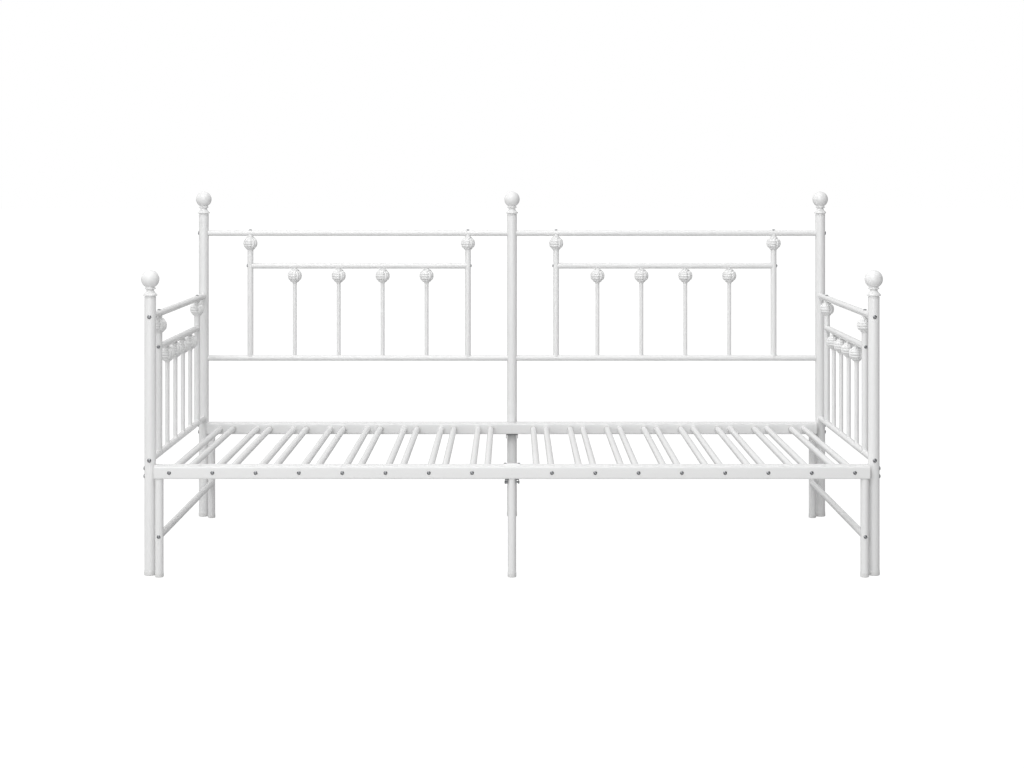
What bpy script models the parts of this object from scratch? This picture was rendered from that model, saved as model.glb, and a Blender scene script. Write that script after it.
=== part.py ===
"""A white steel-tube daybed with a bed base that slides out to double its depth.

Metres, +Z up, +X to the sitter's left-hand end seen from the front, the front at -Y.
The fixed frame is five posts with turned finials, a slender spindle back in two halves,
a spindle arm at each end and two welded deck halves. The pull-out frame has its own rails,
sixteen slats, corner legs, low stretchers and a centre leg. Its slats slide through
holes in the fixed front rail, and the fixed slats slide through holes in its rear rail.
"""

import math

import bmesh
import bpy
from mathutils import Matrix
from mathutils import Vector

# ---------------------------------------------------------------- driving dimensions
POST_SPACING = 2.0372
POST_DEPTH = 0.930
FRONT_Y = -0.4580
BACK_Y = FRONT_Y + POST_DEPTH
END_X = POST_SPACING / 2.0
GAP = 0.0003

POST_R = 0.016
POST_WALL = 0.0015
FRONT_POST_TOP = 0.780
BACK_POST_TOP = 0.994
FOOT_THICKNESS = 0.012

RAIL_R = 0.0095
SPINDLE_R = 0.00635
TUBE_WALL = 0.0012
BORE_EXTRA = 0.0020
BALL_R = 0.0225

# Back panel: heights of its three rails and where its bars stand.
BACK_TOP_Z = 0.9350
BACK_MID_Z = 0.8270
BACK_LOW_Z = 0.5224
BACK_UPRIGHT_X = (0.1457, 0.8645)
BACK_SPINDLE_START = 0.2823
BACK_SPINDLE_PITCH = 0.1452
BACK_SPINDLES = 4

# Arms: the same scheme, divided evenly between the front and back posts.
ARM_TOP_Z = 0.7270
ARM_MID_Z = 0.6310
ARM_LOW_Z = 0.3240
ARM_DIVISIONS = 7

# Distance from a rail's centre line down to the centre of the ball under it.
UPRIGHT_BALL_DROP = 0.0340
SPINDLE_BALL_DROP = 0.0330

# Deck: rectangular rails with round slats.
DECK_Z = 0.2930
BEAM_HEIGHT = 0.0350
BEAM_DEPTH = 0.0250
BEAM_WALL = 0.0015
BEAM_CORNER = 0.0030
SLAT_R = 0.0095
SLATS_PER_HALF = 8
SLAT_PITCH = 0.1210
MOVING_SLAT_START = 0.1117
FIXED_SLAT_START = 0.0700
SLIDE_CLEARANCE = 0.0006

FIXED_FRONT_SETBACK = 0.0025
MOVING_FRONT_ADVANCE = 0.0265
MOVING_REAR_ADVANCE = 0.0295
FIXED_FRONT_BEAM_Y = FRONT_Y + FIXED_FRONT_SETBACK
FIXED_BACK_BEAM_Y = BACK_Y
MOVING_FRONT_BEAM_Y = FRONT_Y - MOVING_FRONT_ADVANCE
MOVING_REAR_BEAM_Y = BACK_Y - MOVING_REAR_ADVANCE
MOVING_BEAM_END = 1.0000

LEG_R = 0.0115
LEG_X = 0.9880
STRETCHER_Z = 0.1140

FORK_WIDTH = 0.0395
FORK_PLATE = 0.0020
FORK_DROP = 0.0140
SLEEVE_LENGTH = 0.0440
SLEEVE_WALL = 0.0020
JOINER_LENGTH = 0.1100

# Turned outline of a finial, (radius, height above the post) up to the ball.
FINIAL_STEM = (
    (0.0162, GAP),
    (0.0190, 0.0068),
    (0.0190, 0.0105),
    (0.0158, 0.0135),
    (0.0118, 0.0172),
    (0.0101, 0.0212),
    (0.0108, 0.0240),
    (0.0152, 0.0255),
    (0.0152, 0.0282),
)
FINIAL_NECK_R = 0.0128
FINIAL_BALL_R = 0.0253
FINIAL_BALL_Z = 0.0527
SPIGOT_R = 0.0138
SPIGOT_DEPTH = 0.0250

POST_SIDES = 16
TUBE_SIDES = 12
THIN_SIDES = 8
BALL_STEPS = 5
FINIAL_STEPS = 9
SMOOTH_ANGLE = math.radians(40.0)

SIDES = (("left", -1.0), ("right", 1.0))
TURN_TO_X = Matrix.Rotation(math.radians(90.0), 4, "Y")
TURN_TO_Y = Matrix.Rotation(math.radians(-90.0), 4, "X")


# ---------------------------------------------------------------- scene and materials
def clear_scene():
    for item in list(bpy.data.objects):
        bpy.data.objects.remove(item, do_unlink=True)


def paint(name, color, roughness, metallic):
    material = bpy.data.materials.new(name)
    material.use_nodes = True
    shader = material.node_tree.nodes["Principled BSDF"]
    shader.inputs["Base Color"].default_value = (*color, 1.0)
    shader.inputs["Roughness"].default_value = roughness
    shader.inputs["Metallic"].default_value = metallic
    return material


def make_object(name, mesh):
    item = bpy.data.objects.new(name, mesh)
    bpy.context.scene.collection.objects.link(item)
    return item


def dress(item, material):
    """Give a finished node its material and shade its round faces smooth."""
    item.data.materials.clear()
    item.data.materials.append(material)
    item.data.shade_smooth()
    item.data.set_sharp_from_angle(angle=SMOOTH_ANGLE)
    return item


# ---------------------------------------------------------------- basic shapes
def turned(name, outline, sides):
    """Spin a closed (radius, height) outline about Z into one closed mesh."""
    shape = bmesh.new()
    points = [shape.verts.new((radius, 0.0, height)) for radius, height in outline]
    loop = points + points[:1]
    for first, second in zip(loop, loop[1:]):
        shape.edges.new((first, second))
    bmesh.ops.spin(
        shape,
        geom=list(shape.verts) + list(shape.edges),
        cent=(0.0, 0.0, 0.0),
        axis=(0.0, 0.0, 1.0),
        angle=2.0 * math.pi,
        steps=sides,
        use_merge=True,
    )
    bmesh.ops.remove_doubles(shape, verts=list(shape.verts), dist=1.0e-6)
    bmesh.ops.dissolve_degenerate(shape, edges=list(shape.edges), dist=1.0e-7)
    bmesh.ops.recalc_face_normals(shape, faces=list(shape.faces))
    mesh = bpy.data.meshes.new(name)
    shape.to_mesh(mesh)
    shape.free()
    return make_object(name, mesh)


def cope(item, length, low, high):
    """Shape a tube's ends to the round pieces it meets.

    low and high are (radius, across) or None. The tube runs from one piece's centre
    line at 0 to the other's at length, and across is the local axis (0 or 1) square
    to both the tube and the piece it meets.
    """
    for vertex in item.data.vertices:
        nearer_low = vertex.co.z < length / 2.0
        end = low if nearer_low else high
        at_end = min(vertex.co.z, length - vertex.co.z) < 1.0e-5
        if end is None or not at_end:
            continue
        radius, across = end
        inset = math.sqrt(max((radius + GAP) ** 2 - vertex.co[across] ** 2, 0.0))
        vertex.co.z = inset if nearer_low else length - inset
    return item


def tube(name, length, radius, wall, sides, low=None, high=None):
    bore = radius - wall
    outline = ((radius, 0.0), (radius, length), (bore, length), (bore, 0.0))
    return cope(turned(name, outline, sides), length, low, high)


def rod(name, length, radius, sides):
    outline = ((0.0, 0.0), (radius, 0.0), (radius, length), (0.0, length))
    return turned(name, outline, sides)


def bore_cutter(length, radius, sides):
    """A rod a little longer than its bar, turned half a side so no edges coincide."""
    cutter = rod("bore", length + 2.0 * BORE_EXTRA, radius, sides)
    cutter.data.transform(Matrix.Rotation(math.pi / sides, 4, "Z"))
    return cutter


def footed_tube(name, length, radius, wall, sides):
    """A standing tube closed at the bottom by its foot."""
    bore = radius - wall
    outline = (
        (0.0, 0.0),
        (radius, 0.0),
        (radius, length),
        (bore, length),
        (bore, FOOT_THICKNESS),
        (0.0, FOOT_THICKNESS),
    )
    return turned(name, outline, sides)


def ball_points(center, radius, first_deg, last_deg, steps):
    """Points of a ball's outline from its lower side to its upper side."""
    points = []
    for step in range(steps + 1):
        angle = math.radians(first_deg + (last_deg - first_deg) * step / steps)
        points.append((radius * math.cos(angle), center + radius * math.sin(angle)))
    return points


def rounded_section(width, height, corner):
    """Corner-rounded rectangle as (x, y) points, two per corner."""
    half_w = width / 2.0
    half_h = height / 2.0
    return (
        (half_w - corner, -half_h),
        (half_w, -half_h + corner),
        (half_w, half_h - corner),
        (half_w - corner, half_h),
        (-half_w + corner, half_h),
        (-half_w, half_h - corner),
        (-half_w, -half_h + corner),
        (-half_w + corner, -half_h),
    )


def beam(name, length, height, depth, wall, corner):
    """A rectangular tube along local Z, its height along X and its depth along Y."""
    outer = rounded_section(height, depth, corner)
    inner = rounded_section(height - 2.0 * wall, depth - 2.0 * wall, corner / 2.0)
    shape = bmesh.new()
    rings = []
    for section in (outer, inner):
        for level in (0.0, length):
            rings.append([shape.verts.new((x, y, level)) for x, y in section])
    outer_low, outer_high, inner_low, inner_high = rings
    count = len(outer)
    for index in range(count):
        after = (index + 1) % count
        shape.faces.new((outer_low[index], outer_low[after], outer_high[after], outer_high[index]))
        shape.faces.new((inner_low[after], inner_low[index], inner_high[index], inner_high[after]))
        shape.faces.new((outer_low[after], outer_low[index], inner_low[index], inner_low[after]))
        shape.faces.new((outer_high[index], outer_high[after], inner_high[after], inner_high[index]))
    bmesh.ops.recalc_face_normals(shape, faces=list(shape.faces))
    mesh = bpy.data.meshes.new(name)
    shape.to_mesh(mesh)
    shape.free()
    return make_object(name, mesh)


def block(name, low, high):
    """A solid box between two corners."""
    shape = bmesh.new()
    bmesh.ops.create_cube(shape, size=1.0)
    for vertex in shape.verts:
        for axis in range(3):
            vertex.co[axis] = high[axis] if vertex.co[axis] > 0.0 else low[axis]
    mesh = bpy.data.meshes.new(name)
    shape.to_mesh(mesh)
    shape.free()
    return make_object(name, mesh)


# ---------------------------------------------------------------- placing and joining
def stand(item, x, y, z=0.0):
    item.location = (x, y, z)
    return item


def along_x(item, x, y, z):
    item.matrix_world = Matrix.Translation((x, y, z)) @ TURN_TO_X
    return item


def along_y(item, x, y, z):
    item.matrix_world = Matrix.Translation((x, y, z)) @ TURN_TO_Y
    return item


def joined(name, items):
    """Move separate, non-touching helper solids into one mesh in world space."""
    shape = bmesh.new()
    for item in items:
        mesh = item.data.copy()
        mesh.transform(item.matrix_basis)
        shape.from_mesh(mesh)
        bpy.data.meshes.remove(mesh)
        bpy.data.objects.remove(item, do_unlink=True)
    mesh = bpy.data.meshes.new(name)
    shape.to_mesh(mesh)
    shape.free()
    return make_object(name, mesh)


def combine(body, tool, operation):
    """Apply one exact Boolean to body and drop the tool."""
    step = body.modifiers.new(operation.lower(), "BOOLEAN")
    step.operation = operation
    step.solver = "EXACT"
    step.object = tool
    bpy.context.view_layer.update()
    evaluated = body.evaluated_get(bpy.context.evaluated_depsgraph_get())
    mesh = bpy.data.meshes.new_from_object(evaluated)
    body.modifiers.clear()
    body.data = mesh
    bpy.data.objects.remove(tool, do_unlink=True)
    return body


def weld(name, beams, bars, bores, cutters):
    """Weld bars to beams, open the bars into the beams, then cut what passes through."""
    body = combine(joined(name, beams), joined("bars", bars), "UNION")
    combine(body, joined("bores", bores), "DIFFERENCE")
    for index, cutter in enumerate(cutters):
        combine(body, joined(f"cutter_{index}", cutter), "DIFFERENCE")
    return body


# ---------------------------------------------------------------- bars with balls
def ball_on_bar(bar_radius, center):
    """Outline of the ball where it leaves and rejoins its bar."""
    edge = math.degrees(math.acos(bar_radius / BALL_R))
    return ball_points(center, BALL_R, -edge, edge, BALL_STEPS)


def ball_upright(name, length, across):
    """A thick bar, coped to both rails, with a ball just under the upper one."""
    bore = RAIL_R - TUBE_WALL
    outline = [(RAIL_R, 0.0)]
    outline += ball_on_bar(RAIL_R, length - UPRIGHT_BALL_DROP)
    outline += [(RAIL_R, length), (bore, length), (bore, 0.0)]
    bar = turned(name, outline, TUBE_SIDES)
    return cope(bar, length, (RAIL_R, across), (RAIL_R, across))


def ball_spindle(length):
    """A thin bar with a ball near its upper end, solid until its bore is cut."""
    outline = [(0.0, 0.0), (SPINDLE_R, 0.0)]
    outline += ball_on_bar(SPINDLE_R, length - SPINDLE_BALL_DROP)
    outline += [(SPINDLE_R, length), (0.0, length)]
    return turned("spindle", outline, THIN_SIDES)


# ---------------------------------------------------------------- fixed frame
def build_posts(material):
    places = {
        "post_front_left": (-END_X, FRONT_Y, FRONT_POST_TOP),
        "post_front_right": (END_X, FRONT_Y, FRONT_POST_TOP),
        "post_back_left": (-END_X, BACK_Y, BACK_POST_TOP),
        "post_back_center": (0.0, BACK_Y, BACK_POST_TOP),
        "post_back_right": (END_X, BACK_Y, BACK_POST_TOP),
    }
    for name, (x, y, top) in places.items():
        post = footed_tube(name, top, POST_R, POST_WALL, POST_SIDES)
        dress(stand(post, x, y), material)
        finial = build_finial(name.replace("post", "finial"))
        dress(stand(finial, x, y, top), material)


def build_finial(name):
    outline = [(0.0, -SPIGOT_DEPTH), (SPIGOT_R, -SPIGOT_DEPTH), (SPIGOT_R, GAP)]
    outline += list(FINIAL_STEM)
    start = -math.degrees(math.acos(FINIAL_NECK_R / FINIAL_BALL_R))
    outline += ball_points(FINIAL_BALL_Z, FINIAL_BALL_R, start, 90.0, FINIAL_STEPS)[:-1]
    outline += [(0.0, FINIAL_BALL_Z + FINIAL_BALL_R)]
    return turned(name, outline, POST_SIDES)


def build_back(material):
    for side, sign in SIDES:
        start = min(0.0, sign * END_X)
        end = (POST_R, 1)
        rail = tube(f"back_top_rail_{side}", END_X, RAIL_R, TUBE_WALL, TUBE_SIDES, end, end)
        dress(along_x(rail, start, BACK_Y, BACK_TOP_Z), material)
        for label, distance in zip(("inner", "outer"), BACK_UPRIGHT_X):
            name = f"back_upright_{side}_{label}"
            upright = ball_upright(name, BACK_TOP_Z - BACK_LOW_Z, 1)
            dress(stand(upright, sign * distance, BACK_Y, BACK_LOW_Z), material)
        dress(back_panel(f"back_spindle_panel_{side}", sign), material)


def back_panel(name, sign):
    """Lower rail, middle rail and four ball spindles of one half of the back."""
    inner, outer = BACK_UPRIGHT_X
    low_rail = tube("low", END_X, RAIL_R, TUBE_WALL, TUBE_SIDES)
    along_x(low_rail, min(0.0, sign * END_X), BACK_Y, BACK_LOW_Z)
    mid_rail = tube("mid", outer - inner, RAIL_R, TUBE_WALL, TUBE_SIDES)
    along_x(mid_rail, min(sign * inner, sign * outer), BACK_Y, BACK_MID_Z)
    spindles = []
    bores = []
    for index in range(BACK_SPINDLES):
        x = sign * (BACK_SPINDLE_START + index * BACK_SPINDLE_PITCH)
        spindles.append(stand(ball_spindle(BACK_MID_Z - BACK_LOW_Z), x, BACK_Y, BACK_LOW_Z))
        bore = bore_cutter(BACK_MID_Z - BACK_LOW_Z, SPINDLE_R - TUBE_WALL, THIN_SIDES)
        bores.append(stand(bore, x, BACK_Y, BACK_LOW_Z - BORE_EXTRA))
    posts = [post_cutter(0.0, BACK_Y), post_cutter(sign * END_X, BACK_Y)]
    uprights = []
    for distance in BACK_UPRIGHT_X:
        uprights.append(upright_cutter(sign * distance, BACK_Y, BACK_MID_Z))
    return weld(name, [low_rail, mid_rail], spindles, bores, [posts, uprights])


def post_cutter(x, y):
    """Cuts a beam's or rail's end to the round of the post it meets."""
    return stand(rod("cutter", BACK_POST_TOP, POST_R + GAP, POST_SIDES * 2), x, y)


def upright_cutter(x, y, z):
    """Cuts a middle rail's end to the round of the upright it meets."""
    reach = 3.0 * RAIL_R
    return stand(rod("cutter", 2.0 * reach, RAIL_R + GAP, TUBE_SIDES * 2), x, y, z - reach)


def build_arms(material):
    step = POST_DEPTH / ARM_DIVISIONS
    for side, sign in SIDES:
        x = sign * END_X
        end = (POST_R, 0)
        rail = tube(f"arm_top_rail_{side}", POST_DEPTH, RAIL_R, TUBE_WALL, TUBE_SIDES, end, end)
        dress(along_y(rail, x, FRONT_Y, ARM_TOP_Z), material)
        for label, division in (("front", 1), ("back", ARM_DIVISIONS - 1)):
            upright = ball_upright(f"arm_upright_{side}_{label}", ARM_TOP_Z - ARM_LOW_Z, 0)
            dress(stand(upright, x, FRONT_Y + division * step, ARM_LOW_Z), material)
        dress(arm_panel(f"arm_spindle_panel_{side}", x, step), material)


def arm_panel(name, x, step):
    """Lower rail, middle rail and four ball spindles of one arm."""
    low_rail = tube("low", POST_DEPTH, RAIL_R, TUBE_WALL, TUBE_SIDES)
    along_y(low_rail, x, FRONT_Y, ARM_LOW_Z)
    mid_length = (ARM_DIVISIONS - 2) * step
    mid_rail = tube("mid", mid_length, RAIL_R, TUBE_WALL, TUBE_SIDES)
    along_y(mid_rail, x, FRONT_Y + step, ARM_MID_Z)
    spindles = []
    bores = []
    for division in range(2, ARM_DIVISIONS - 1):
        y = FRONT_Y + division * step
        spindles.append(stand(ball_spindle(ARM_MID_Z - ARM_LOW_Z), x, y, ARM_LOW_Z))
        bore = bore_cutter(ARM_MID_Z - ARM_LOW_Z, SPINDLE_R - TUBE_WALL, THIN_SIDES)
        bores.append(stand(bore, x, y, ARM_LOW_Z - BORE_EXTRA))
    posts = [post_cutter(x, FRONT_Y), post_cutter(x, BACK_Y)]
    uprights = []
    for division in (1, ARM_DIVISIONS - 1):
        uprights.append(upright_cutter(x, FRONT_Y + division * step, ARM_MID_Z))
    return weld(name, [low_rail, mid_rail], spindles, bores, [posts, uprights])


# ---------------------------------------------------------------- deck
def slat_places(start):
    return [start + index * SLAT_PITCH for index in range(SLATS_PER_HALF)]


def deck_beam(name, x_from, x_to, y):
    low = min(x_from, x_to)
    piece = beam(name, abs(x_to - x_from), BEAM_HEIGHT, BEAM_DEPTH, BEAM_WALL, BEAM_CORNER)
    return along_x(piece, low, y, DECK_Z)


def slat_cutters(start, sign, y, radius):
    """Round cutters that pass right through a beam at y."""
    cutters = []
    for distance in slat_places(start):
        cutter = rod("cutter", 2.0 * BEAM_DEPTH, radius, TUBE_SIDES)
        cutters.append(along_y(cutter, sign * distance, y - BEAM_DEPTH, DECK_Z))
    return cutters


def deck_half(name, sign):
    """Fixed front and back beams with eight welded slats."""
    beams = [
        deck_beam("front", sign * GAP, sign * END_X, FIXED_FRONT_BEAM_Y),
        deck_beam("back", 0.0, sign * END_X, FIXED_BACK_BEAM_Y),
    ]
    slats = []
    bores = []
    length = FIXED_BACK_BEAM_Y - FIXED_FRONT_BEAM_Y
    for distance in slat_places(FIXED_SLAT_START):
        x = sign * distance
        slats.append(along_y(rod("slat", length, SLAT_R, TUBE_SIDES), x, FIXED_FRONT_BEAM_Y, DECK_Z))
        bore = bore_cutter(length, SLAT_R - TUBE_WALL, TUBE_SIDES)
        bores.append(along_y(bore, x, FIXED_FRONT_BEAM_Y - BORE_EXTRA, DECK_Z))
    ends = [post_cutter(sign * END_X, FRONT_Y), post_cutter(sign * END_X, BACK_Y)]
    ends.append(post_cutter(0.0, BACK_Y))
    radius = SLAT_R + SLIDE_CLEARANCE
    holes = slat_cutters(MOVING_SLAT_START, sign, FIXED_FRONT_BEAM_Y, radius)
    return weld(name, beams, slats, bores, [ends, holes])


def joint_sleeve(name, y):
    """A short rectangular sleeve around the place where two beams meet."""
    clearance = 2.0 * GAP
    outer_height = BEAM_HEIGHT + clearance + 2.0 * SLEEVE_WALL
    outer_depth = BEAM_DEPTH + clearance + 2.0 * SLEEVE_WALL
    corner = BEAM_CORNER + SLEEVE_WALL
    piece = beam(name, SLEEVE_LENGTH, outer_height, outer_depth, SLEEVE_WALL, corner)
    return along_x(piece, -SLEEVE_LENGTH / 2.0, y, DECK_Z)


def build_deck(material):
    for side, sign in SIDES:
        dress(deck_half(f"deck_half_{side}", sign), material)
    dress(joint_sleeve("deck_joint_sleeve", FIXED_FRONT_BEAM_Y), material)


# ---------------------------------------------------------------- pull-out frame
def build_pullout_beams(material):
    for side, sign in SIDES:
        ends = (sign * GAP, sign * MOVING_BEAM_END)
        front = deck_beam(f"pullout_front_rail_{side}", *ends, MOVING_FRONT_BEAM_Y)
        dress(front, material)
        rear = deck_beam("rear", *ends, MOVING_REAR_BEAM_Y)
        body = joined(f"pullout_rear_rail_{side}", [rear])
        radius = SLAT_R + SLIDE_CLEARANCE
        holes = slat_cutters(FIXED_SLAT_START, sign, MOVING_REAR_BEAM_Y, radius)
        dress(combine(body, joined("holes", holes), "DIFFERENCE"), material)


def build_joiners(material):
    """Hidden inner sleeves that hold each pair of pull-out beams in line."""
    shrink = 2.0 * (BEAM_WALL + GAP)
    height = BEAM_HEIGHT - shrink
    depth = BEAM_DEPTH - shrink
    for label, y in (("front", MOVING_FRONT_BEAM_Y), ("rear", MOVING_REAR_BEAM_Y)):
        name = f"pullout_{label}_joiner"
        piece = beam(name, JOINER_LENGTH, height, depth, BEAM_WALL, BEAM_CORNER / 2.0)
        dress(along_x(piece, -JOINER_LENGTH / 2.0, y, DECK_Z), material)


def build_moving_slats(material):
    first = MOVING_FRONT_BEAM_Y + BEAM_DEPTH / 2.0 + GAP
    last = MOVING_REAR_BEAM_Y - BEAM_DEPTH / 2.0 - GAP
    for side, sign in SIDES:
        for index, distance in enumerate(slat_places(MOVING_SLAT_START)):
            slat = tube(f"pullout_slat_{side}_{index + 1}", last - first, SLAT_R, TUBE_WALL, TUBE_SIDES)
            dress(along_y(slat, sign * distance, first, DECK_Z), material)


def build_legs(material):
    leg_top = DECK_Z - BEAM_HEIGHT / 2.0 - GAP
    for side, sign in SIDES:
        for label, y in (("front", MOVING_FRONT_BEAM_Y), ("rear", MOVING_REAR_BEAM_Y)):
            leg = footed_tube(f"pullout_leg_{label}_{side}", leg_top, LEG_R, TUBE_WALL, TUBE_SIDES)
            dress(stand(leg, sign * LEG_X, y), material)
        length = MOVING_REAR_BEAM_Y - MOVING_FRONT_BEAM_Y
        end = (LEG_R, 0)
        stretcher = tube(f"pullout_stretcher_{side}", length, RAIL_R, TUBE_WALL, TUBE_SIDES, end, end)
        dress(along_y(stretcher, sign * LEG_X, MOVING_FRONT_BEAM_Y, STRETCHER_Z), material)


def fork(name, y):
    """A U-shaped plate bracket hanging under a beam at the middle of the bed."""
    half = FORK_WIDTH / 2.0
    top = DECK_Z - BEAM_HEIGHT / 2.0 - GAP
    low = Vector((-half, y - BEAM_DEPTH / 2.0, top - FORK_DROP))
    high = Vector((half, y + BEAM_DEPTH / 2.0, top))
    body = block(name, low, high)
    inner = half - FORK_PLATE
    slot_low = (-inner, low.y - FORK_PLATE, low.z - FORK_PLATE)
    slot_high = (inner, high.y + FORK_PLATE, top - FORK_PLATE)
    return combine(body, block("slot", slot_low, slot_high), "DIFFERENCE")


def build_center_support(paint_material, plate_material):
    fork_top = DECK_Z - BEAM_HEIGHT / 2.0 - GAP
    length = fork_top - FORK_PLATE - GAP
    leg = footed_tube("pullout_center_leg", length, LEG_R, TUBE_WALL, TUBE_SIDES)
    dress(stand(leg, 0.0, MOVING_FRONT_BEAM_Y), paint_material)
    dress(fork("pullout_front_fork", MOVING_FRONT_BEAM_Y), plate_material)
    dress(fork("pullout_rear_fork", MOVING_REAR_BEAM_Y), plate_material)


def build():
    clear_scene()
    white = paint("white_powder_coat", (0.80, 0.80, 0.79), 0.32, 0.0)
    zinc = paint("zinc_plate", (0.52, 0.53, 0.55), 0.38, 0.9)
    build_posts(white)
    build_back(white)
    build_arms(white)
    build_deck(white)
    build_pullout_beams(white)
    build_joiners(zinc)
    build_moving_slats(white)
    build_legs(white)
    build_center_support(white, zinc)


build()
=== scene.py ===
# %% [markdown]
# # A white metal daybed that pulls out into a double bed
#
# The real object is bent, welded and bolted steel tube under one coat of white powder
# paint. Five posts carry turned finials, a back panel and two arm panels are filled
# with thin bars, and each bar wears a cast ball that looks like a knot of cord. Under
# the mattress lie two combs of slats that slide into each other.
#
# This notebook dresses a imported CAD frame. The frame already says where every tube is,
# so each piece below asks the frame for its place and only adds what the CAD leaves
# out: round tubes, welds, ribs, screws, glides and the finish. Everything is in metres.

# %% Load the frame
import math

import bpy
import numpy as np
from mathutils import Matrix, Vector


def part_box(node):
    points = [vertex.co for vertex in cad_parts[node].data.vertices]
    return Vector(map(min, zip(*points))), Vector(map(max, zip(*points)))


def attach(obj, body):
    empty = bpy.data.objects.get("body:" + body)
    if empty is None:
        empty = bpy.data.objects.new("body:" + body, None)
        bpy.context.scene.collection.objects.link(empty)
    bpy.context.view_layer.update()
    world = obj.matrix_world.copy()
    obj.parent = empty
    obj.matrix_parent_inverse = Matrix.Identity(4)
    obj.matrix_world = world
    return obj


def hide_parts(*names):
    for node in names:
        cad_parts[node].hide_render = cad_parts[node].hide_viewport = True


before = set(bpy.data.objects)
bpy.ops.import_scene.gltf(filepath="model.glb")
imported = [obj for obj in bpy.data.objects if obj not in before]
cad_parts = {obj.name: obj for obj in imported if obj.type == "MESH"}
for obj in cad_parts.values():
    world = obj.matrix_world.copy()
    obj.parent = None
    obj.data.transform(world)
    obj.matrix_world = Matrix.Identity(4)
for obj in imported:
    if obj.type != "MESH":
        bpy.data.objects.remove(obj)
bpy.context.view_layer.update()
FIXED = "fixed_frame"
MOVING = "pull_out_frame"


# %% [markdown]
# ## Places and sizes
#
# A box gives a node's lowest and highest corner. That is enough to find the middle of a
# tube and its radius. What a box can't tell, such as how the bars are spread inside a
# panel, is repeated here from the CAD as plain sizes.

# %% Measure the frame
def middle(node):
    """The middle of a node's box."""
    low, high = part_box(node)
    return np.array((low + high) / 2.0)


def extent(node):
    """The lengths of a node's box along X, Y and Z."""
    low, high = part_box(node)
    return np.array(high - low)


def top_of(node):
    """The height of a node's highest point."""
    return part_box(node)[1].z


POST_RADIUS = extent("post_front_left")[0] / 2.0
RAIL_RADIUS = extent("back_top_rail_left")[2] / 2.0
LEG_RADIUS = extent("pullout_leg_front_left")[0] / 2.0
END_X = middle("post_front_right")[0]
FRONT_Y = middle("post_front_right")[1]
BACK_Y = middle("post_back_right")[1]
DECK_Z = middle("pullout_front_rail_left")[2]
RAIL_HEIGHT = extent("pullout_front_rail_left")[2]
RAIL_DEPTH = extent("pullout_front_rail_left")[1]
PULL_FRONT_Y = middle("pullout_front_rail_left")[1]
PULL_REAR_Y = middle("pullout_rear_rail_left")[1]
DECK_FRONT_Y = middle("deck_joint_sleeve")[1]
SIDES = (("left", -1.0), ("right", 1.0))

BAR_RADIUS = 0.00635
THIN_WALL = 0.0012
POST_WALL = 0.0015
FIT = 0.0003
JOINT = 0.00005
BALL_RADIUS = 0.0233
UPRIGHT_BALL_DROP = 0.0340
SPINDLE_BALL_DROP = 0.0330
BACK_UPRIGHTS = (0.1457, 0.8645)
BACK_SPINDLE_FIRST = 0.2823
BACK_SPINDLE_PITCH = 0.1452
SPINDLES = 4
ARM_STEPS = 7
SLATS = 8
SLAT_PITCH = 0.1210
MOVING_SLAT_FIRST = 0.1117
FIXED_SLAT_FIRST = 0.0700
print("widths in mm:", [round(2000.0 * radius, 1) for radius in (POST_RADIUS, RAIL_RADIUS)])


# %% [markdown]
# ## The camera
#
# The bed is seen straight from the front, from a little above the back rest. A camera
# that is level keeps the posts upright and parallel. To bring the low bed into the
# frame it isn't tilted but shifted, as a view camera is, by a part of the frame's width.

# %% Set the camera
def show(name, data):
    """A new object that holds data, linked to the scene."""
    item = bpy.data.objects.new(name, data)
    bpy.context.scene.collection.objects.link(item)
    return item


CAMERA_HEIGHT = 1.12
CAMERA_GAP = 5.35
LENS = 66.8
SHIFT = -0.2021

camera_data = bpy.data.cameras.new("front_camera")
camera_data.lens = LENS
camera_data.sensor_width = 36.0
camera_data.shift_y = SHIFT
camera_data.clip_end = 100.0
camera = show("front_camera", camera_data)
camera.location = (0.0, FRONT_Y - CAMERA_GAP, CAMERA_HEIGHT)
camera.rotation_euler = (math.radians(90.0), 0.0, 0.0)
bpy.context.scene.camera = camera
print("camera at", [round(v, 3) for v in camera.location])


# %% [markdown]
# ## Light and floor
#
# White paint on a white ground is only readable through its shading. So the room's light
# isn't even: it is brightest towards the upper left and dims smoothly to the right and
# below, and three large lamps lift the fronts and the tops. Only rays from the camera see
# a plain white backdrop. The floor is pale and glows almost to white, so that hardly any
# shadow is left under the feet.

# %% Hang the lamps
KEY_POWER = 96.0
FILL_POWER = 88.0
TOP_POWER = 40.0
BRIGHT_SIDE = (-0.62, 0.22, 0.75)
ROOM_DARK = 0.05
ROOM_BRIGHT = 0.95


def lamp(name, place, target, size, power):
    """A rectangular soft light, size wide and high, at place and turned to face target."""
    data = bpy.data.lights.new(name, "AREA")
    data.shape = "RECTANGLE"
    data.size, data.size_y = size
    data.energy = power
    item = show(name, data)
    item.location = place
    aim = np.array(target) - np.array(place)
    heading = math.atan2(aim[1], aim[0]) - math.pi / 2.0
    pitch = math.atan2(aim[2], math.hypot(aim[0], aim[1])) + math.pi / 2.0
    item.rotation_euler = (pitch, 0.0, heading)


lamp("key_light", (-1.4, -5.2, 4.4), (0.0, 0.0, 0.5), (3.0, 3.0), KEY_POWER)
lamp("fill_light", (-1.2, -7.4, 1.15), (0.0, 0.0, 0.4), (6.0, 2.2), FILL_POWER)
lamp("top_light", (-0.5, -1.3, 4.0), (0.0, 0.2, 0.3), (3.0, 3.0), TOP_POWER)


# %% Light the room
WHITE = (1.0, 1.0, 1.0, 1.0)


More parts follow.
